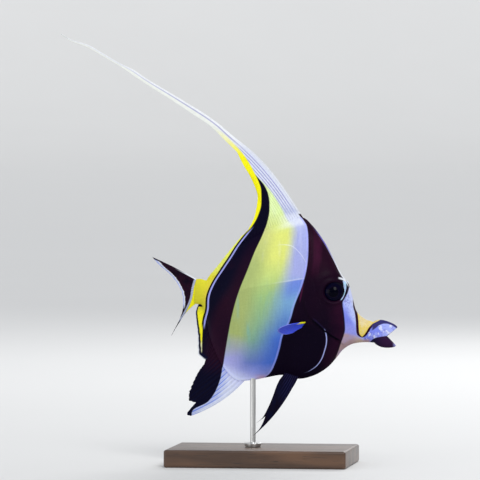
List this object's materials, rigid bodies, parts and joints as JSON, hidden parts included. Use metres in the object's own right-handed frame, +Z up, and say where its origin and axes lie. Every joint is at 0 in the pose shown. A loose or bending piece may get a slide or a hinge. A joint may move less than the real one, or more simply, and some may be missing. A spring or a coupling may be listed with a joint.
{
  "type": "moorish idol fish",
  "caption": "Life-size moorish idol, a tall thin disc-shaped reef fish with a tube snout and a whip-like back fin, swimming on a rod over a flat base.",
  "frame": {"origin": "middle of the stand base's flat underside, on the surface it stands on", "axes": "+X the way the fish faces, +Y its left side, +Z up from the surface it stands on"},
  "size_m": [0.2298, 0.078, 0.2933],
  "materials": {
    "face": "smooth fish skin, black-maroon and lilac bands",
    "trunk": "smooth fine-scaled skin, black, white and yellow bands",
    "tail_yellow": "smooth fish skin, yellow",
    "upper_lip": "smooth lip skin, white-blue and dark blue",
    "lower_lip": "smooth lip skin, black-maroon",
    "fin_white": "thin rayed fin, white with fine violet stripes",
    "fin_yellow": "thin rayed fin, yellow and black",
    "fin_black": "thin rayed fin, black",
    "eye": "wet dark eye",
    "steel": "brushed",
    "walnut": "oiled dark walnut"
  },
  "bodies": {
    "root": {"head": "face", "torso": "trunk", "tail_stalk": "tail_yellow", "upper_jaw": "upper_lip", "lower_jaw": "lower_lip", "gill_cover_right": "face", "gill_cover_left": "face", "eye_right": "eye", "eye_left": "eye", "dorsal_fin_spiny": "fin_white", "dorsal_fin_soft": "fin_yellow", "dorsal_streamer": "fin_white", "anal_fin": "fin_black", "caudal_fin": "fin_black", "pelvic_fin_right": "fin_black", "pelvic_fin_left": "fin_black", "pectoral_fin_right": "fin_black", "pectoral_fin_left": "fin_black", "stand_base": "walnut", "stand_rod": "steel"}
  },
  "joints": []
}
